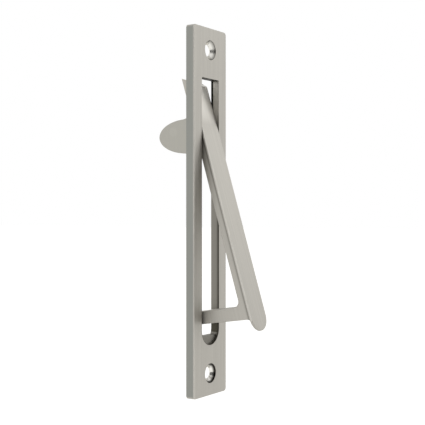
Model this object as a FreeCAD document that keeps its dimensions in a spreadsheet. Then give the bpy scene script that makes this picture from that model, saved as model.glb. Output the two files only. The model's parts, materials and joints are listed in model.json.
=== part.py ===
"""Pocket door edge pull: a slotted plate for the edge of a sliding door, and a lever that swings out of it.

Frame: X to the right seen from in front of the door's edge, Y into the door, Z up.
The origin is the centre of the plate's back face. Lengths are millimetres and angles degrees.
The lever is drawn closed in the slot, then turned about its pin to the open position.
"""

import FreeCAD, Part
import math
import os

import Sketcher

# Driving dimensions
SIZES = {
    "plate_width": 25.4,
    "plate_length": 158.75,
    "plate_thickness": 4.0,
    "plate_corner": 1.5,
    "plate_edge": 0.4,
    "slot_width": 13.3,
    "slot_length": 115.0,
    "slot_corner": 0.4,
    "ledge_height": 3.9,
    "screw_inset": 9.525,
    "screw_hole": 5.0,
    "countersink": 8.5,
    "countersink_angle": 82.0,
    "screw_wall": 2.4,
    "relief_rim": 3.0,
    "relief_corner": 3.0,
    "ear_thickness": 3.0,
    "ear_drop": 2.0,
    "ear_height": 14.7,
    "ear_reach": 16.5,
    "ear_root": 2.2,
    "ear_edge": 0.5,
    "ear_fillet": 1.2,
    "pivot_height": 34.3,
    "pivot_behind": 9.0,
    "pin_diameter": 4.0,
    "pin_clearance": 0.05,
    "lever_clearance": 0.3,
    "lever_recess": 0.1,
    "lever_depth": 4.6,
    "lever_front_top": 17.8,
    "lever_corner": 1.8,
    "lever_edge": 0.3,
    "crown_radius": 14.0,
    "crown_angle": 35.0,
    "flange_thickness": 0.9,
    "flange_overhang": 0.8,
    "flange_edge": 0.4,
    "hub_radius": 4.5,
    "hub_clearance": 0.4,
    "arm_height": 8.8,
    "arm_thickness": 5.6,
    "arm_rise": 8.3,
    "arm_end": 2.2,
    "arm_end_radius": 2.0,
    "arm_fillet": 2.5,
    "tip_fillet": 2.0,
    "stop_bar": 2.6,
    "stop_bar_length": 16.4,
    "stop_gap": 0.1,
    "open_angle": 16.8,
}

# Places worked out from the sheet, as expressions
PLATE_SIDE = "(Sizes.plate_width / 2)"
PLATE_END = "(Sizes.plate_length / 2)"
SLOT_SIDE = "(Sizes.slot_width / 2)"
SLOT_END = "(Sizes.slot_length / 2)"
SLOT_CENTRE = f"({SLOT_SIDE} - {SLOT_END})"
LEDGE_TOP = f"(Sizes.ledge_height - {SLOT_END})"
LEDGE_DEPTH = "(Sizes.lever_recess + Sizes.flange_thickness + Sizes.stop_gap)"
RELIEF_DEPTH = "(Sizes.plate_thickness - Sizes.screw_wall)"
EAR_OUTER = f"({SLOT_SIDE} + Sizes.ear_thickness)"
LEVER_FRONT = "(Sizes.lever_recess - Sizes.plate_thickness)"
LEVER_BACK = f"({LEVER_FRONT} + Sizes.lever_depth)"
LEVER_BOTTOM = f"(Sizes.lever_clearance - {SLOT_END})"
FLANGE_BACK = f"({LEVER_FRONT} + Sizes.flange_thickness)"
FLANGE_SIDE = f"({SLOT_SIDE} - Sizes.lever_clearance)"
RIB_SIDE = f"({FLANGE_SIDE} - Sizes.flange_overhang)"
HUB_WIDTH = "(Sizes.slot_width - 2 * Sizes.hub_clearance)"

CROWN_Y = f"({LEVER_FRONT} + Sizes.crown_radius * cos(Sizes.crown_angle * 1deg))"
CROWN_RISE = "(Sizes.lever_front_top - Sizes.crown_radius * sin(Sizes.crown_angle * 1deg))"
CROWN_Z = f"(Sizes.pivot_height + {CROWN_RISE})"
LEVER_TOP = f"({CROWN_Z} + sqrt(Sizes.crown_radius ^ 2 - ({LEVER_BACK} - {CROWN_Y}) ^ 2))"
FLANGE_TOP = f"({CROWN_Z} + sqrt(Sizes.crown_radius ^ 2 - ({FLANGE_BACK} - {CROWN_Y}) ^ 2))"

UP = FreeCAD.Vector(0, 0, 1)
TOLERANCE = 1e-4

doc = FreeCAD.newDocument("pocket_door_pull")
sheet = doc.addObject("Spreadsheet::Sheet", "Sizes")
for row, (alias, number) in enumerate(SIZES.items(), start=1):
    sheet.set(f"A{row}", alias)
    sheet.set(f"B{row}", str(number))
    sheet.setAlias(f"B{row}", alias)
doc.recompute()


def value(expression):
    """The number that an expression has now."""
    return float(sheet.evalExpression(str(expression)))


def near(a, b):
    return abs(a - b) < TOLERANCE


def new_body(label):
    body = doc.addObject("PartDesign::Body", label)
    body.Label = label
    return body


def origin_plane(body, role):
    return next(item for item in body.Origin.OriginFeatures if item.Role == role)


def new_sketch(body, name, role, offset=None):
    """A sketch on one of the body's origin planes, moved along the plane's normal by offset."""
    sketch = body.newObject("Sketcher::SketchObject", name)
    sketch.AttachmentSupport = [(origin_plane(body, role), "")]
    sketch.MapMode = "FlatFace"
    if offset:
        sketch.setExpression("AttachmentOffset.Base.z", offset)
    return sketch


def bound(sketch, expression, kind, *where):
    """A dimension of the sketch that follows an expression."""
    index = sketch.addConstraint(Sketcher.Constraint(kind, *where, value(expression)))
    sketch.setExpression(f"Constraints[{index}]", str(expression))


def place(sketch, geometry, point, x, y):
    bound(sketch, x, "DistanceX", -1, 1, geometry, point)
    bound(sketch, y, "DistanceY", -1, 1, geometry, point)


def constrain(sketch, *constraints):
    for constraint in constraints:
        sketch.addConstraint(Sketcher.Constraint(*constraint))


def lines_through(sketch, points):
    """Straight lines from each (x, y) point to the next, joined end to end."""
    corners = [FreeCAD.Vector(x, y, 0) for x, y in points]
    lines = [sketch.addGeometry(Part.LineSegment(a, b)) for a, b in zip(corners, corners[1:])]
    for line, following in zip(lines, lines[1:]):
        constrain(sketch, ("Coincident", line, 2, following, 1))
    return lines


def polygon(sketch, corners):
    """A closed outline of straight lines through corners, each an (x, y) pair of expressions."""
    points = [(value(x), value(y)) for x, y in corners]
    lines = lines_through(sketch, points + points[:1])
    constrain(sketch, ("Coincident", lines[-1], 2, lines[0], 1))
    for line, (x, y) in zip(lines, corners):
        place(sketch, line, 1, x, y)


def rectangle(sketch, left, bottom, right, top):
    polygon(sketch, [(left, bottom), (right, bottom), (right, top), (left, top)])


def circle(sketch, x, y, diameter):
    centre = FreeCAD.Vector(value(x), value(y), 0)
    ring = sketch.addGeometry(Part.Circle(centre, UP, value(diameter) / 2))
    place(sketch, ring, 3, x, y)
    bound(sketch, diameter, "Diameter", ring)


def arc(sketch, x, y, radius, start, end):
    """An anticlockwise arc between two angles in radians, with its centre and radius bound."""
    middle = FreeCAD.Vector(value(x), value(y), 0)
    curve = sketch.addGeometry(Part.ArcOfCircle(Part.Circle(middle, UP, value(radius)), start, end))
    place(sketch, curve, 3, x, y)
    bound(sketch, radius, "Radius", curve)
    return curve


def round_bottomed(sketch, radius, centre, top, corner):
    """An upright outline on the sketch's axis, with a half-round lower end and rounded upper corners."""
    x, low, high, inset = value(radius), value(centre), value(top), value(corner)
    level = f"{top} - {corner}"
    arcs = [
        arc(sketch, 0, centre, radius, math.pi, 2 * math.pi),
        arc(sketch, f"{radius} - {corner}", level, corner, 0, math.pi / 2),
        arc(sketch, f"{corner} - {radius}", level, corner, math.pi / 2, math.pi),
    ]
    sides = [
        lines_through(sketch, [(x, low), (x, high - inset)]),
        lines_through(sketch, [(x - inset, high), (inset - x, high)]),
        lines_through(sketch, [(-x, high - inset), (-x, low)]),
    ]
    for before, (side,), after in zip(arcs, sides, arcs[1:] + arcs[:1]):
        constrain(sketch, ("Tangent", before, 2, side, 1), ("Tangent", side, 2, after, 1))


def around_round_bottom(sketch, radius, centre, side, bottom):
    """The outline of what lies between a half-round lower end and a box round it."""
    r, mid, x, low = value(radius), value(centre), value(side), value(bottom)
    end = arc(sketch, 0, centre, radius, math.pi, 2 * math.pi)
    corners = [(r, mid), (x, mid), (x, low), (-x, low), (-x, mid), (-r, mid)]
    first, right, under, left, last = lines_through(sketch, corners)
    constrain(
        sketch,
        ("Coincident", end, 2, first, 1),
        ("Coincident", last, 2, end, 1),
        ("Horizontal", end, 2, end, 3),
        ("Horizontal", end, 1, end, 3),
        ("Horizontal", first),
        ("Horizontal", last),
        ("Vertical", right),
        ("Vertical", left),
        ("Horizontal", under),
    )
    place(sketch, under, 1, side, bottom)
    bound(sketch, f"-{side}", "DistanceX", -1, 1, under, 2)


def above_arc(sketch, x, y, radius, left, right, top):
    """The outline of what lies above an arc, between two uprights and a level line."""
    x0, x1, high = value(left), value(right), value(top)
    start, end = [math.acos((edge - value(x)) / value(radius)) for edge in (x1, x0)]
    curve = arc(sketch, x, y, radius, start, end)
    heights = [value(y) + value(radius) * math.sin(angle) for angle in (end, start)]
    down, over, up = lines_through(sketch, [(x0, heights[0]), (x0, high), (x1, high), (x1, heights[1])])
    constrain(
        sketch,
        ("Coincident", curve, 2, down, 1),
        ("Coincident", up, 2, curve, 1),
        ("Vertical", down),
        ("Vertical", up),
        ("Horizontal", over),
    )
    place(sketch, over, 1, left, top)
    bound(sketch, right, "DistanceX", -1, 1, over, 2)


def half_ellipse_ear(sketch, root, straight, reach, middle, height):
    """Half an ellipse that ends a straight root, lying along the sketch's X axis at the height middle."""
    x0, x1, ym, half = value(root), value(straight), value(middle), value(height) / 2
    long_half = f"({reach} - {straight})"
    ellipse = Part.Ellipse(FreeCAD.Vector(x1, ym, 0), value(long_half), half)
    curve = sketch.addGeometry(Part.ArcOfEllipse(ellipse, -math.pi / 2, math.pi / 2))
    outline = [(x1, ym + half), (x0, ym + half), (x0, ym - half), (x1, ym - half)]
    over, back, under = lines_through(sketch, outline)
    sketch.exposeInternalGeometry(curve)
    long_axis, short_axis = under + 1, under + 2
    constrain(
        sketch,
        ("Coincident", curve, 2, over, 1),
        ("Coincident", under, 2, curve, 1),
        ("Vertical", curve, 1, curve, 3),
        ("Vertical", curve, 2, curve, 3),
        ("Horizontal", long_axis),
        ("Horizontal", over),
        ("Horizontal", under),
        ("Vertical", back),
    )
    place(sketch, curve, 3, straight, middle)
    bound(sketch, f"2 * {long_half}", "Distance", long_axis)
    bound(sketch, height, "Distance", short_axis)
    bound(sketch, root, "DistanceX", -1, 1, back, 1)


def extrude(body, kind, name, sketch, length=None, symmetric=False, reverse=False):
    """A Pad or Pocket of the sketch. With no length it goes right through."""
    feature = body.newObject(f"PartDesign::{kind}", name)
    feature.Profile = sketch
    if length:
        feature.setExpression("Length", str(length))
    else:
        feature.Type = "ThroughAll"
    if symmetric:
        feature.SideType = "Symmetric"
    feature.Reversed = reverse
    doc.recompute()
    return feature


def mirror(body, name, feature, role):
    """The feature repeated on the other side of one of the body's origin planes."""
    pair = body.newObject("PartDesign::Mirrored", name)
    pair.Originals = [feature]
    pair.MirrorPlane = (origin_plane(body, role), [""])
    body.Tip = pair
    doc.recompute()
    return pair


def fillet(body, name, radius, chosen):
    """A fillet on every edge of the body's solid that chosen accepts."""
    base = body.Tip
    feature = body.newObject("PartDesign::Fillet", name)
    feature.Base = (base, [f"Edge{i}" for i, edge in enumerate(base.Shape.Edges, start=1) if chosen(edge)])
    feature.setExpression("Radius", str(radius))
    doc.recompute()


def within(edge, x=None, y=None, z=None):
    """Whether an edge's box lies inside the given spans. A single number is a span of no width."""
    box = edge.BoundBox
    spans = ((x, box.XMin, box.XMax), (y, box.YMin, box.YMax), (z, box.ZMin, box.ZMax))
    for limits, low, high in spans:
        if limits is None:
            continue
        least, most = limits if isinstance(limits, tuple) else (limits, limits)
        if low < least - TOLERANCE or high > most + TOLERANCE:
            return False
    return True


def make_face_plate():
    """The edge plate with its slot and screw holes, and the two ears behind it that carry the pin."""
    body = new_body("face_plate")
    front = -value("Sizes.plate_thickness")
    slot_side, slot_end = value(SLOT_SIDE), value(SLOT_END)

    outline = new_sketch(body, "plate_outline", "XZ_Plane")
    rectangle(outline, f"-{PLATE_SIDE}", f"-{PLATE_END}", PLATE_SIDE, PLATE_END)
    extrude(body, "Pad", "plate", outline, "Sizes.plate_thickness")
    fillet(body, "plate_corners", "Sizes.plate_corner", lambda edge: near(edge.BoundBox.YLength, -front))
    fillet(body, "plate_edges", "Sizes.plate_edge", lambda edge: within(edge, y=front))

    slot = new_sketch(body, "slot_outline", "XZ_Plane")
    round_bottomed(slot, SLOT_SIDE, SLOT_CENTRE, SLOT_END, "Sizes.slot_corner")
    extrude(body, "Pocket", "slot", slot, reverse=True)

    # A ledge at the slot's lower end, on which the tip of the closed lever rests
    ledge = new_sketch(body, "ledge_outline", "XZ_Plane")
    rectangle(ledge, f"-{SLOT_SIDE}", f"-{SLOT_END}", SLOT_SIDE, LEDGE_TOP)
    extrude(body, "Pad", "ledge", ledge, f"Sizes.plate_thickness - {LEDGE_DEPTH}")

    screws = new_sketch(body, "screw_places", "XZ_Plane", "Sizes.plate_thickness")
    for side in ("", "-"):
        circle(screws, 0, f"{side}({PLATE_END} - Sizes.screw_inset)", "Sizes.screw_hole")
    doc.recompute()
    holes = body.newObject("PartDesign::Hole", "screw_holes")
    holes.Profile = screws
    doc.recompute()
    holes.DepthType = "ThroughAll"
    holes.HoleCutType = "Countersink"
    holes.HoleCutCustomValues = True
    holes.setExpression("Diameter", "Sizes.screw_hole")
    holes.setExpression("HoleCutDiameter", "Sizes.countersink")
    holes.setExpression("HoleCutCountersinkAngle", "Sizes.countersink_angle")
    doc.recompute()

    # The back is hollowed behind each screw hole, with a rim left all round
    relief = new_sketch(body, "relief_outline", "XZ_Plane")
    side = f"({PLATE_SIDE} - Sizes.relief_rim)"
    rectangle(relief, f"-{side}", f"{SLOT_END} + Sizes.relief_rim", side, f"{PLATE_END} - Sizes.relief_rim")
    upper = extrude(body, "Pocket", "upper_relief", relief, RELIEF_DEPTH, reverse=True)
    mirror(body, "both_reliefs", upper, "XY_Plane")
    hollow = value(RELIEF_DEPTH)
    fillet(
        body,
        "relief_corners",
        "Sizes.relief_corner",
        lambda edge: near(edge.BoundBox.YLength, hollow) and within(edge, y=(-hollow, 0)),
    )

    ear = new_sketch(body, "ear_outline", "YZ_Plane", SLOT_SIDE)
    half_ellipse_ear(
        ear,
        "(-Sizes.plate_thickness / 2)",
        "Sizes.ear_root",
        "Sizes.ear_reach",
        "(Sizes.pivot_height - Sizes.ear_drop)",
        "Sizes.ear_height",
    )
    right_ear = extrude(body, "Pad", "right_ear", ear, "Sizes.ear_thickness")
    mirror(body, "both_ears", right_ear, "YZ_Plane")

    ear_side = value(EAR_OUTER)
    fillet(
        body,
        "ear_edges",
        "Sizes.ear_edge",
        lambda edge: near(abs(edge.BoundBox.Center.x), ear_side) and edge.BoundBox.YMax > TOLERANCE,
    )
    fillet(
        body,
        "ear_roots",
        "Sizes.ear_fillet",
        lambda edge: within(edge, x=(-ear_side, ear_side), y=0, z=(0, slot_end))
        and abs(edge.BoundBox.Center.x) > slot_side + TOLERANCE,
    )

    bore = new_sketch(body, "bore_outline", "YZ_Plane")
    circle(bore, "Sizes.pivot_behind", "Sizes.pivot_height", "Sizes.pin_diameter")
    extrude(body, "Pocket", "pin_holes", bore, symmetric=True)
    return body


def make_pivot_pin():
    """The pin, ground flush with the ears."""
    body = new_body("pivot_pin")
    section = new_sketch(body, "pin_section", "YZ_Plane")
    circle(section, "Sizes.pivot_behind", "Sizes.pivot_height", "Sizes.pin_diameter")
    extrude(body, "Pad", "pin", section, f"2 * {EAR_OUTER}", symmetric=True)
    return body


def make_pull_lever():
    """The lever, drawn closed in the slot: flanged bar, hub round the pin, and arm with its stop bar."""
    body = new_body("pull_lever")
    opening, rise = "(Sizes.open_angle * 1deg)", "(Sizes.arm_rise * 1deg)"
    arm_start = f"({LEVER_BOTTOM} + Sizes.arm_height)"
    # Where on the arm's centre line the stop bar meets the plate's back when the lever is open
    stop_reach = (
        f"((Sizes.stop_bar / 2 + Sizes.stop_gap - Sizes.pivot_behind"
        f" - ({LEVER_BACK} - Sizes.pivot_behind) * cos({opening})"
        f" - ({arm_start} - Sizes.pivot_height) * sin({opening})) / cos({rise} - {opening}))"
    )
    arm_length = f"({stop_reach} + Sizes.arm_end)"

    def on_arm(along, across):
        """A point by its distance along the arm's centre line and square to it."""
        y = f"{LEVER_BACK} + ({along}) * cos({rise}) - ({across}) * sin({rise})"
        z = f"{arm_start} + ({along}) * sin({rise}) + ({across}) * cos({rise})"
        return y, z

    def arm_edge(y, side):
        """The point of the arm's upper (+) or lower (-) edge line at y."""
        centre_line = f"{arm_start} + ({y} - {LEVER_BACK}) * tan({rise})"
        return y, f"{centre_line} {side} Sizes.arm_thickness / 2 / cos({rise})"

    def corner_at(point):
        y, z = map(value, point)
        return lambda edge: within(edge, y=y, z=z)

    # Rib and arm, seen from the side
    spine = new_sketch(body, "spine_profile", "YZ_Plane")
    upper_corner, lower_corner = arm_edge(LEVER_BACK, "+"), arm_edge(FLANGE_BACK, "-")
    arm_tips = [on_arm(arm_length, f"{side}Sizes.arm_thickness / 2") for side in ("-", "")]
    polygon(
        spine,
        [
            (LEVER_FRONT, LEVER_TOP),
            (LEVER_FRONT, LEVER_BOTTOM),
            (FLANGE_BACK, LEVER_BOTTOM),
            lower_corner,
            *arm_tips,
            upper_corner,
            (LEVER_BACK, LEVER_TOP),
        ],
    )
    extrude(body, "Pad", "spine", spine, f"2 * {RIB_SIDE}", symmetric=True)
    fillet(body, "arm_fillet", "Sizes.arm_fillet", corner_at(upper_corner))
    fillet(body, "tip_fillet", "Sizes.tip_fillet", corner_at(lower_corner))
    tips = [corner_at(tip) for tip in arm_tips]
    fillet(body, "arm_end", "Sizes.arm_end_radius", lambda edge: any(tip(edge) for tip in tips))

    # The upper end, which a finger presses, is rounded over from the front
    crown = new_sketch(body, "crown_outline", "YZ_Plane")
    in_front = f"{LEVER_FRONT} - Sizes.crown_radius * (1 - cos(Sizes.crown_angle * 1deg)) / 2"
    above_arc(
        crown,
        CROWN_Y,
        CROWN_Z,
        "Sizes.crown_radius",
        in_front,
        f"{CROWN_Y} + Sizes.crown_radius / 2",
        f"{LEVER_TOP} + Sizes.crown_radius / 2",
    )
    extrude(body, "Pocket", "rib_crown", crown, symmetric=True)
    flange_back, crown_z = value(FLANGE_BACK), value(CROWN_Z)
    fillet(
        body,
        "spine_edges",
        "Sizes.lever_edge",
        lambda edge: near(edge.BoundBox.XLength, 0)
        and edge.BoundBox.YMax > flange_back + TOLERANCE
        and edge.BoundBox.ZMin < crown_z,
    )

    # The lower end of the front is half-round
    tip = new_sketch(body, "tip_outline", "XZ_Plane", f"-{LEVER_FRONT}")
    around_round_bottom(tip, RIB_SIDE, SLOT_CENTRE, SLOT_SIDE, f"-{SLOT_END}")
    extrude(body, "Pocket", "tip", tip, "Sizes.flange_thickness")

    block = new_sketch(body, "hub_block", "YZ_Plane")
    hub_bottom, hub_top = [f"Sizes.pivot_height {side} Sizes.hub_radius" for side in "-+"]
    rectangle(block, FLANGE_BACK, hub_bottom, "Sizes.pivot_behind", hub_top)
    extrude(body, "Pad", "hub", block, HUB_WIDTH, symmetric=True)
    boss = new_sketch(body, "hub_end", "YZ_Plane")
    circle(boss, "Sizes.pivot_behind", "Sizes.pivot_height", "2 * Sizes.hub_radius")
    extrude(body, "Pad", "boss", boss, HUB_WIDTH, symmetric=True)

    face = new_sketch(body, "flange_outline", "XZ_Plane", f"-{LEVER_FRONT}")
    round_bottomed(face, FLANGE_SIDE, SLOT_CENTRE, FLANGE_TOP, "Sizes.lever_corner")
    extrude(body, "Pad", "flange", face, "Sizes.flange_thickness", reverse=True)
    extrude(body, "Pocket", "flange_crown", crown, symmetric=True)
    fillet(body, "flange_edges", "Sizes.flange_edge", lambda edge: within(edge, y=value(LEVER_FRONT)))

    bore = new_sketch(body, "bore_outline", "YZ_Plane")
    bore_diameter = "Sizes.pin_diameter + 2 * Sizes.pin_clearance"
    circle(bore, "Sizes.pivot_behind", "Sizes.pivot_height", bore_diameter)
    extrude(body, "Pocket", "bore", bore, symmetric=True)

    bar = new_sketch(body, "stop_bar_section", "YZ_Plane")
    circle(bar, *on_arm(stop_reach, 0), "Sizes.stop_bar")
    extrude(body, "Pad", "stop_bar", bar, "Sizes.stop_bar_length", symmetric=True)

    turned = "rotation(vector(1; 0; 0); -Sizes.open_angle)"
    about = "vector(0; Sizes.pivot_behind; Sizes.pivot_height)"
    body.setExpression("Placement", f"placement(vector(0; 0; 0); {turned}; {about})")
    return body


def main():
    bodies = [make_face_plate(), make_pivot_pin(), make_pull_lever()]
    doc.recompute()
    failed = [item.Label for item in doc.Objects if {"Invalid", "Error"} & set(item.State)]
    sketches = doc.findObjects("Sketcher::SketchObject")
    loose = [sketch.Label for sketch in sketches if not sketch.FullyConstrained]
    broken = [body.Label for body in bodies if body.Shape.isNull() or not body.Shape.isValid()]
    if failed or loose or broken:
        raise RuntimeError(f"failed {failed}, loose sketches {loose}, broken shapes {broken}")
    os.makedirs("parts", exist_ok=True)
    for body in bodies:
        body.Shape.exportStep(f"parts/{body.Label}.step")
        print(f"{body.Label}: {len(body.Shape.Solids)} solid, {body.Shape.Volume:.0f} mm3")


main()
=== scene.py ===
"""Satin nickel pocket door pull with its lever swung open, lit as a catalogue picture on white.

Frame: X to the right seen from in front of the door's edge, Y into the door, Z up, in metres.
"""

import json
import math

import bmesh
import bpy
from mathutils import Matrix, Vector


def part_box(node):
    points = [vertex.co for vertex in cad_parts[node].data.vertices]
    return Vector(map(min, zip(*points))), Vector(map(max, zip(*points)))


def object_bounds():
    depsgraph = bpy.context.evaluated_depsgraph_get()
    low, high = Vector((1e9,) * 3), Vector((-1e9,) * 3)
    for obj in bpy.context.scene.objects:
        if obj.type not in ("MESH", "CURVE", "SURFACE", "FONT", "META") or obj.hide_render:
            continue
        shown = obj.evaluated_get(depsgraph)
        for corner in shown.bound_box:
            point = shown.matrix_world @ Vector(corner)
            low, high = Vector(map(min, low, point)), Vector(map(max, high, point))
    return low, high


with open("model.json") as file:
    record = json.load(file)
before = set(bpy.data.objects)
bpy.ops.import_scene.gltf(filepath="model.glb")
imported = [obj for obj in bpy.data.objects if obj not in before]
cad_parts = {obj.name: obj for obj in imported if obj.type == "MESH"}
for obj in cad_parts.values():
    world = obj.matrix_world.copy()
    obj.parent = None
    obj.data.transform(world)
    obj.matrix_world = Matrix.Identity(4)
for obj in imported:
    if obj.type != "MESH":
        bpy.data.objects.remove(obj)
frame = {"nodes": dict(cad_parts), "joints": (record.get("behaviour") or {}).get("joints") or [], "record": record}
cad_low, cad_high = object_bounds()

MM = 0.001

# Camera, a pinhole fitted to the plate's corners in a 425 pixel frame
FRAME_PIXELS = 425
FOCAL_PIXELS = 922.65
SENSOR = 36.0
CAMERA_TURN = math.radians(-57.008)
CAMERA_PLACE = Vector((-334.33, -222.09, -0.344)) * MM
CLIP_START = 10 * MM

# Studio. Sheets are given by half a side and lamps by a full one. Glow and light are strengths
FLOOR_DROP = 45 * MM
FLOOR_HALF = 6.0
FLOOR_GLOW = 0.62
WORLD_LIGHT = 0.55
FLAG_PLACE = Vector((-0.70, -0.80, 0.22))
FLAG_HALF = 0.4
LAMPS = {
    "key": {"place": Vector((1.2, -0.66, 0.75)), "size": 0.9, "watts": 2.2},
    "fill": {"place": Vector((-1.1, 0.5, 0.5)), "size": 1.0, "watts": 1.0},
}

# How far a finish reaches round an edge, and the small play that keeps an area off the next surface
EDGE = 0.3 * MM
HAIR = 0.1 * MM

# The plate, from the middle of its back, and how far the painted highlight along its edge reaches in
plate_low, plate_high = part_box("face_plate")
PLATE_SIDE = plate_high.x
PLATE_FRONT = plate_low.y
EDGE_HIGHLIGHT_REACH = 1.2 * MM

# The slot, painted shade on its front and back lips, and painted shade on its walls below the arm
SLOT_SIDE = 6.65 * MM
SLOT_END = 57.5 * MM
LIP_FRONT = 0.25 * MM
LIP_DEEP = 1.3 * MM
BACK_LIP = 1.1 * MM
SHADE_START = -45.5 * MM
SHADE_FULL = -47.5 * MM

# The screw holes, with radii at which painted shade begins on a countersink's rim, and where the
# darker painted shade on the lower rim begins and is full
screw_holes = next(mount for mount in frame["record"]["mounts"] if mount["name"] == "screw_holes")
SCREW_HEIGHT = screw_holes["dims"]["spacing_y_mm"] / 2 * MM
SCREW_WALL = 2.4 * MM
COUNTERSINK = 4.25 * MM
RIM_START = 3.1 * MM
RIM_SHADE_START = 3.2 * MM
RIM_SHADE_FULL = 3.8 * MM

# The lever as it lies closed in the plate
LEVER_SINK = 0.1 * MM
LEVER_DEPTH = 4.6 * MM
FLANGE_DEPTH = 0.9 * MM
LEVER_FRONT = PLATE_FRONT + LEVER_SINK
LEVER_BACK = LEVER_FRONT + LEVER_DEPTH
FLANGE_BACK = LEVER_FRONT + FLANGE_DEPTH
FLANGE_SIDE = 6.35 * MM
FLANGE_EDGE = 0.4 * MM
RIB_SIDE = 5.55 * MM
CREASE = 1.5 * MM

# Where the lever carries painted highlights: heights at its press end and crown, and depths along its arm
PRESS_START = 34 * MM
PRESS_FULL = 44 * MM
CROWN_START = 45 * MM
CROWN_FULL = 49 * MM
ARM_START = 15 * MM
ARM_FULL = 21 * MM

# The turn that lays the open lever back in the plate, about its pin
swing = frame["joints"][0]
CLOSING = math.radians(-swing["range_deg"][0])
PIN = Vector(swing["pos_m"])
CLOSING_SHIFT = PIN - Matrix.Rotation(CLOSING, 3, "X") @ PIN

# Brush lines. Real ones are about 0.1 mm apart. They are drawn wider, so that a few show
BRUSH_WIDTH = 0.7 * MM
BRUSH_LENGTH = 45 * MM
BRUSH_DETAIL = 3.0
GROOVE_DEPTH = 0.02 * MM

# Roughness of brushed and ground metal, from its dark streaks to its light ones, and of turned metal
BRUSHED = {"To Min": 0.48, "To Max": 0.58}
GROUND = {"To Min": 0.44, "To Max": 0.54}
TURNED = 0.3

# The two sides of a line at which an area can lie
BEYOND = "GREATER_THAN"
WITHIN = "LESS_THAN"


def linear(hex_colour):
    """An sRGB hex colour as a linear RGBA tuple."""
    channels = [int(hex_colour[i : i + 2], 16) / 255 for i in (1, 3, 5)]
    levels = [c / 12.92 if c <= 0.04045 else ((c + 0.055) / 1.055) ** 2.4 for c in channels]
    return (*levels, 1.0)


def add(tree, kind, links=None, **settings):
    """Adds a node. Settings are its properties, and links holds a socket or a value for each input."""
    node = tree.nodes.new(kind)
    for key, setting in settings.items():
        setattr(node, key, setting)
    for key, source in (links or {}).items():
        if isinstance(source, bpy.types.NodeSocket):
            tree.links.new(source, node.inputs[key])
        else:
            node.inputs[key].default_value = source
    return node


def new_material(name):
    material = bpy.data.materials.new(name)
    material.use_nodes = True
    tree = material.node_tree
    tree.nodes.clear()
    return material, tree


def brush_lines(tree, place):
    """Streaks along the length of a piece, as a number from 0 to 1."""
    scale = (1 / BRUSH_WIDTH, 1 / BRUSH_WIDTH, 1 / BRUSH_LENGTH)
    along = add(tree, "ShaderNodeMapping", {"Vector": place, "Scale": scale}).outputs[0]
    grain = {"Vector": along, "Scale": 1.0, "Detail": BRUSH_DETAIL}
    return add(tree, "ShaderNodeTexNoise", grain).outputs["Fac"]


def streaked(tree, streaks, dark, light):
    """A tone that goes from dark to light with the streaks."""
    mix = {"Factor": streaks, "A": linear(dark), "B": linear(light)}
    return add(tree, "ShaderNodeMix", mix, data_type="RGBA").outputs["Result"]


def painted_over(tree, tone, streaks, areas):
    """A tone with others laid over it, each an area from 0 to 1 with its dark and light streaks."""
    for area, dark, light in areas:
        mix = {"Factor": area, "A": tone, "B": streaked(tree, streaks, dark, light)}
        tone = add(tree, "ShaderNodeMix", mix, data_type="RGBA").outputs["Result"]
    return tone


def mark_areas(tree, cuts, fades):
    """Areas of a piece by name, each 1 inside and 0 outside.

    A cut is a measure, the side of a line on which the area lies, and the line. A fade is a measure,
    where the area begins and where it is full.
    """
    areas = {}
    for name, (measure, side, line) in cuts.items():
        areas[name] = add(tree, "ShaderNodeMath", {0: measure, 1: line}, operation=side).outputs[0]
    for name, (measure, start, full) in fades.items():
        ends = {"Value": measure, "From Min": start, "From Max": full}
        areas[name] = add(tree, "ShaderNodeMapRange", ends).outputs["Result"]
    return areas


def all_of(tree, *areas):
    """Where all the areas overlap."""
    shared = areas[0]
    for area in areas[1:]:
        shared = add(tree, "ShaderNodeMath", {0: shared, 1: area}, operation="MULTIPLY").outputs[0]
    return shared


def nickel_over_brass(tree, tone, rough, streaks):
    """Satin nickel on cast brass: a grey mirror, blurred by its brushing and faintly grooved by it."""
    grooves = add(tree, "ShaderNodeBump", {"Height": streaks, "Distance": GROOVE_DEPTH}).outputs[0]
    finish = {"Base Color": tone, "Metallic": 1.0, "Roughness": rough, "Normal": grooves}
    metal = add(tree, "ShaderNodeBsdfPrincipled", finish)
    add(tree, "ShaderNodeOutputMaterial", {"Surface": metal.outputs[0]})


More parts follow.
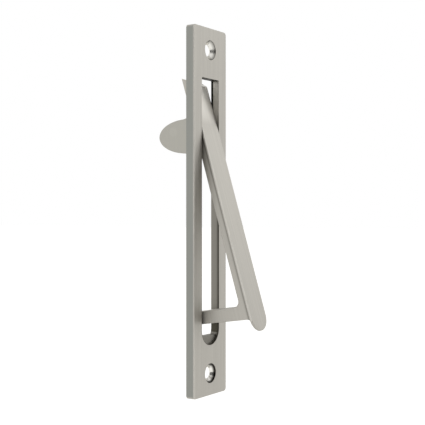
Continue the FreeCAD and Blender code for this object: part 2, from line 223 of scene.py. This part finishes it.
def plate_nickel():
    """Brushed bright on the front, with a painted highlight along one edge. The countersinks have a
    smoother lathe finish, with a painted reflection that makes them bright.

    The sides, the ears and the walls of the slot are duller, as cast, and the slot's walls are darkened
    further by painted shade, with a painted highlight on them beside the press end. The slot's lips, its
    top, its walls below the arm and the rims of the countersinks carry painted shade, the lower rim more.
    """
    material, tree = new_material("satin_nickel_plate")
    place = add(tree, "ShaderNodeTexCoord").outputs["Object"]
    streaks = brush_lines(tree, place)
    x, y, z = add(tree, "ShaderNodeSeparateXYZ", {"Vector": place}).outputs
    across = add(tree, "ShaderNodeMath", {0: x}, operation="ABSOLUTE").outputs[0]
    height = add(tree, "ShaderNodeMath", {0: z}, operation="ABSOLUTE").outputs[0]

    # The slot's lower end is round, so the way out to its outline is measured round that end's centre
    past = {"Value": z, "From Min": SLOT_SIDE - SLOT_END, "From Max": -SLOT_END, "To Max": SLOT_SIDE}
    below = add(tree, "ShaderNodeMapRange", past, clamp=False).outputs["Result"]
    down = add(tree, "ShaderNodeMath", {0: below, 1: 0.0}, operation="MAXIMUM").outputs[0]
    from_middle = add(tree, "ShaderNodeCombineXYZ", {"X": x, "Y": down}).outputs[0]
    out = add(tree, "ShaderNodeVectorMath", {0: from_middle}, operation="LENGTH").outputs["Value"]

    # Both screw holes lie equally far from the middle, so one radius serves the two
    to_hole = {0: height, 1: SCREW_HEIGHT}
    off_hole = add(tree, "ShaderNodeMath", to_hole, operation="SUBTRACT").outputs[0]
    spoke = add(tree, "ShaderNodeCombineXYZ", {"X": x, "Y": off_hole}).outputs[0]
    radius = add(tree, "ShaderNodeVectorMath", {0: spoke}, operation="LENGTH").outputs["Value"]

    area = mark_areas(
        tree,
        cuts={
            "behind": (y, BEYOND, EDGE),
            "sunk": (y, BEYOND, PLATE_FRONT + HAIR),
            "slot_width": (across, WITHIN, SLOT_SIDE + EDGE),
            "slot_length": (height, WITHIN, SLOT_END + EDGE),
            "slot_wall": (across, BEYOND, SLOT_SIDE - EDGE),
            "slot_back": (y, BEYOND, -BACK_LIP),
            "slot_top": (z, BEYOND, SLOT_END - EDGE),
            "hole": (radius, WITHIN, COUNTERSINK),
            "hole_depth": (y, WITHIN, PLATE_FRONT + SCREW_WALL),
            "lower_half": (z, WITHIN, 0.0),
        },
        fades={
            "side": (across, PLATE_SIDE - EDGE, PLATE_SIDE),
            "beside_press_end": (z, PRESS_START, PRESS_FULL),
            "below_press_end": (z, PRESS_FULL, PRESS_START),
            "below_arm": (z, SHADE_START, SHADE_FULL),
            "slot_outline": (out, SLOT_SIDE + LIP_FRONT, SLOT_SIDE + HAIR),
            "lip_depth": (y, PLATE_FRONT + LIP_DEEP, PLATE_FRONT + EDGE),
            "highlight_width": (x, EDGE_HIGHLIGHT_REACH - PLATE_SIDE, EDGE - PLATE_SIDE),
            "front": (y, PLATE_FRONT + 2 * EDGE, PLATE_FRONT + EDGE),
            "hole_rim": (radius, RIM_START, COUNTERSINK),
            "hole_shade": (radius, RIM_SHADE_START, RIM_SHADE_FULL),
        },
    )
    in_slot = all_of(tree, area["sunk"], area["slot_width"], area["slot_length"])
    # Areas of painted highlight and painted shade on the plate; the countersinks' area also sets their roughness
    painted_highlight_wall = all_of(tree, in_slot, area["slot_wall"], area["beside_press_end"])
    painted_shade_back_lip = all_of(tree, in_slot, area["slot_back"], area["beside_press_end"])
    painted_shade_top_wall = all_of(tree, in_slot, area["slot_top"])
    painted_shade_under_arm = all_of(tree, in_slot, area["slot_wall"], area["below_arm"])
    painted_shade_front_lip = all_of(tree, area["slot_outline"], area["lip_depth"], area["below_press_end"])
    painted_edge_highlight = all_of(tree, area["highlight_width"], area["front"])
    turned_and_painted_glint = all_of(tree, area["hole"], area["hole_depth"])
    painted_shade_rim = all_of(tree, turned_and_painted_glint, area["hole_rim"])
    painted_shade_lower_rim = all_of(tree, turned_and_painted_glint, area["lower_half"], area["hole_shade"])

    tone = painted_over(
        tree,
        streaked(tree, streaks, "#a6a39c", "#bcb9b2"),
        streaks,
        (
            (area["behind"], "#a7a59e", "#b1afa7"),
            (area["side"], "#8b8c88", "#979892"),
            # Inside the slot: a duller as-cast tone, darkened further by painted shade of the slot's hollow
            (in_slot, "#84817a", "#908d86"),
            # Painted highlight on the slot's walls beside the press end
            (painted_highlight_wall, "#c0bdb6", "#ccc9c2"),
            # Painted shade: a near-black line along the back of the slot's walls beside the press end
            (painted_shade_back_lip, "#1e1d1a", "#282723"),
            # Painted shade on the slot's top wall
            (painted_shade_top_wall, "#3a3834", "#44423d"),
            # Painted shade on the slot's walls below the arm
            (painted_shade_under_arm, "#4c4940", "#565349"),
            # Painted shade and painted reflection: a dark lip round the slot's front outline, below the press end
            (painted_shade_front_lip, "#3e3b34", "#48453e"),
            # Painted highlight along the plate's left front edge
            (painted_edge_highlight, "#b4b1aa", "#cac7c0"),
            # Countersinks: a smoother turned finish, with a near-white painted reflection in their colour
            (turned_and_painted_glint, "#e0ded8", "#eceae4"),
            # Painted shade round the countersinks' rims
            (painted_shade_rim, "#585650", "#62605a"),
            # Darker painted shade on the lower countersink's rim
            (painted_shade_lower_rim, "#23211d", "#2d2b27"),
        ),
    )
    brushed = add(tree, "ShaderNodeMapRange", {"Value": streaks, **BRUSHED}).outputs["Result"]
    blur = {"Factor": turned_and_painted_glint, "A": brushed, "B": TURNED}
    rough = add(tree, "ShaderNodeMix", blur, data_type="FLOAT").outputs["Result"]
    nickel_over_brass(tree, tone, rough, streaks)
    return material


def lever_nickel():
    """Brushed along its length like the plate, with painted highlights on its flange edges, press end,
    crown and arm's end.

    The crease under its flange carries painted shade.
    """
    material, tree = new_material("satin_nickel_lever")
    place = add(tree, "ShaderNodeTexCoord").outputs["Object"]
    lay = {"Vector": place, "Rotation": (CLOSING, 0, 0), "Location": CLOSING_SHIFT}
    closed = add(tree, "ShaderNodeMapping", lay).outputs[0]
    streaks = brush_lines(tree, closed)
    x, y, z = add(tree, "ShaderNodeSeparateXYZ", {"Vector": closed}).outputs
    across = add(tree, "ShaderNodeMath", {0: x}, operation="ABSOLUTE").outputs[0]

    area = mark_areas(
        tree,
        cuts={
            "between_sides": (across, WITHIN, RIB_SIDE - HAIR),
            "before_back": (y, WITHIN, LEVER_BACK - EDGE),
            "edge_depth": (y, WITHIN, LEVER_FRONT + FLANGE_EDGE),
            "under_flange": (y, BEYOND, FLANGE_BACK - HAIR),
            "rib": (across, WITHIN, RIB_SIDE + EDGE),
        },
        fades={
            "press_end": (z, PRESS_START, PRESS_FULL),
            "crown_end": (z, CROWN_START, CROWN_FULL),
            "edge": (across, FLANGE_SIDE - FLANGE_EDGE, FLANGE_SIDE - FLANGE_EDGE / 2),
            "crease": (y, FLANGE_BACK + CREASE, FLANGE_BACK),
            "arm_end": (y, ARM_START, ARM_FULL),
        },
    )
    front = all_of(tree, area["between_sides"], area["before_back"])
    # Areas of painted highlight and painted shade on the lever
    painted_highlight_press_end = all_of(tree, front, area["press_end"])
    painted_highlight_flange_edge = all_of(tree, area["edge"], area["edge_depth"])
    crown = all_of(tree, front, area["crown_end"])
    painted_shade_crease = all_of(tree, area["under_flange"], area["rib"], area["crease"])

    tone = painted_over(
        tree,
        streaked(tree, streaks, "#a8a59e", "#bdbab3"),
        streaks,
        (
            # Painted highlight on the lever's front at the press end
            (painted_highlight_press_end, "#d8d5ce", "#e2dfd8"),
            # Painted highlight along the flange's front edges
            (painted_highlight_flange_edge, "#d2cfc8", "#dedbd4"),
            # Painted highlight on the crown's front
            (crown, "#e8e6df", "#f0eee8"),
            # Painted shade in the crease under the flange
            (painted_shade_crease, "#4c4a44", "#58564f"),
            # Painted highlight on the arm's end deep in the slot
            (area["arm_end"], "#c8c5be", "#d6d3cc"),
        ),
    )
    rough = add(tree, "ShaderNodeMapRange", {"Value": streaks, **BRUSHED}).outputs["Result"]
    nickel_over_brass(tree, tone, rough, streaks)
    return material


def pin_nickel():
    """Ground flush with the ears and plated with them, so that it hardly shows."""
    material, tree = new_material("satin_nickel_pin")
    place = add(tree, "ShaderNodeTexCoord").outputs["Object"]
    streaks = brush_lines(tree, place)
    tone = streaked(tree, streaks, "#a7a59e", "#b1afa7")
    rough = add(tree, "ShaderNodeMapRange", {"Value": streaks, **GROUND}).outputs["Result"]
    nickel_over_brass(tree, tone, rough, streaks)
    return material


def white_to_eye(tree, dim, bright):
    """A strength, bright for what the camera, metal or glass sees and dim for the light it gives."""
    path = add(tree, "ShaderNodeLightPath").outputs
    seen = path["Is Camera Ray"]
    for other in ("Is Glossy Ray", "Is Transmission Ray"):
        seen = add(tree, "ShaderNodeMath", {0: seen, 1: path[other]}, operation="MAXIMUM").outputs[0]
    strength = add(tree, "ShaderNodeMapRange", {"Value": seen, "To Min": dim, "To Max": bright})
    return strength.outputs["Result"]


def make_world():
    """White to look at, and a soft even light on the pull."""
    world = bpy.data.worlds.new("studio_white")
    world.use_nodes = True
    tree = world.node_tree
    tree.nodes.clear()
    white = {"Color": linear("#ffffff"), "Strength": white_to_eye(tree, dim=WORLD_LIGHT, bright=1.0)}
    sky = add(tree, "ShaderNodeBackground", white)
    add(tree, "ShaderNodeOutputWorld", {"Surface": sky.outputs[0]})
    bpy.context.scene.world = world


def make_sheet(name, half_side, placement, material):
    """A flat square of the studio."""
    bm = bmesh.new()
    bmesh.ops.create_grid(bm, x_segments=1, y_segments=1, size=half_side, matrix=placement)
    mesh = bpy.data.meshes.new(name)
    bm.to_mesh(mesh)
    bm.free()
    mesh.materials.append(material)
    sheet = bpy.data.objects.new(name, mesh)
    bpy.context.scene.collection.objects.link(sheet)
    return sheet


def make_floor():
    """Pale paper below the pull, lit up to white for the eye only."""
    material, tree = new_material("pale_paper")
    paper = add(tree, "ShaderNodeBsdfDiffuse", {"Color": linear("#f2f1ee")})
    strength = white_to_eye(tree, dim=0.0, bright=FLOOR_GLOW)
    glow = add(tree, "ShaderNodeEmission", {"Strength": strength})
    both = add(tree, "ShaderNodeAddShader", {0: paper.outputs[0], 1: glow.outputs[0]})
    add(tree, "ShaderNodeOutputMaterial", {"Surface": both.outputs[0]})
    level = Matrix.Translation((0, 0, cad_low.z - FLOOR_DROP))
    floor = make_sheet("floor", FLOOR_HALF, level, material)


def make_flag():
    """A black card behind the camera, which edges and countersinks mirror as a dark line."""
    material, tree = new_material("black_card")
    card = add(tree, "ShaderNodeBsdfDiffuse", {"Color": linear("#1c1c1c")})
    add(tree, "ShaderNodeOutputMaterial", {"Surface": card.outputs[0]})
    turn = FLAG_PLACE.to_track_quat("Z", "Y").to_matrix().to_4x4()
    flag = make_sheet("flag", FLAG_HALF, Matrix.Translation(FLAG_PLACE) @ turn, material)
    flag.visible_camera = False


def make_lamp(name, place, size, watts):
    """A soft square lamp that faces the middle of the pull."""
    lamp = bpy.data.lights.new(name, "AREA")
    lamp.size = size
    lamp.energy = watts
    item = bpy.data.objects.new(name, lamp)
    item.location = place
    item.rotation_euler = (-place).to_track_quat("-Z", "Y").to_euler()
    bpy.context.scene.collection.objects.link(item)


def make_camera():
    """The photograph's camera, held level."""
    camera = bpy.data.cameras.new("camera")
    camera.sensor_width = SENSOR
    camera.lens = FOCAL_PIXELS / FRAME_PIXELS * SENSOR
    camera.clip_start = CLIP_START
    item = bpy.data.objects.new("camera", camera)
    item.location = CAMERA_PLACE
    item.rotation_euler = (math.pi / 2, 0, CAMERA_TURN)
    bpy.context.scene.collection.objects.link(item)
    bpy.context.scene.camera = item


FINISHES = {"face_plate": plate_nickel(), "pull_lever": lever_nickel(), "pivot_pin": pin_nickel()}
for node, finish in FINISHES.items():
    frame["nodes"][node].material_slots[0].material = finish

make_world()
make_floor()
make_flag()
for name, lamp in LAMPS.items():
    make_lamp(name, **lamp)
make_camera()

bpy.context.scene.view_settings.view_transform = "Standard"
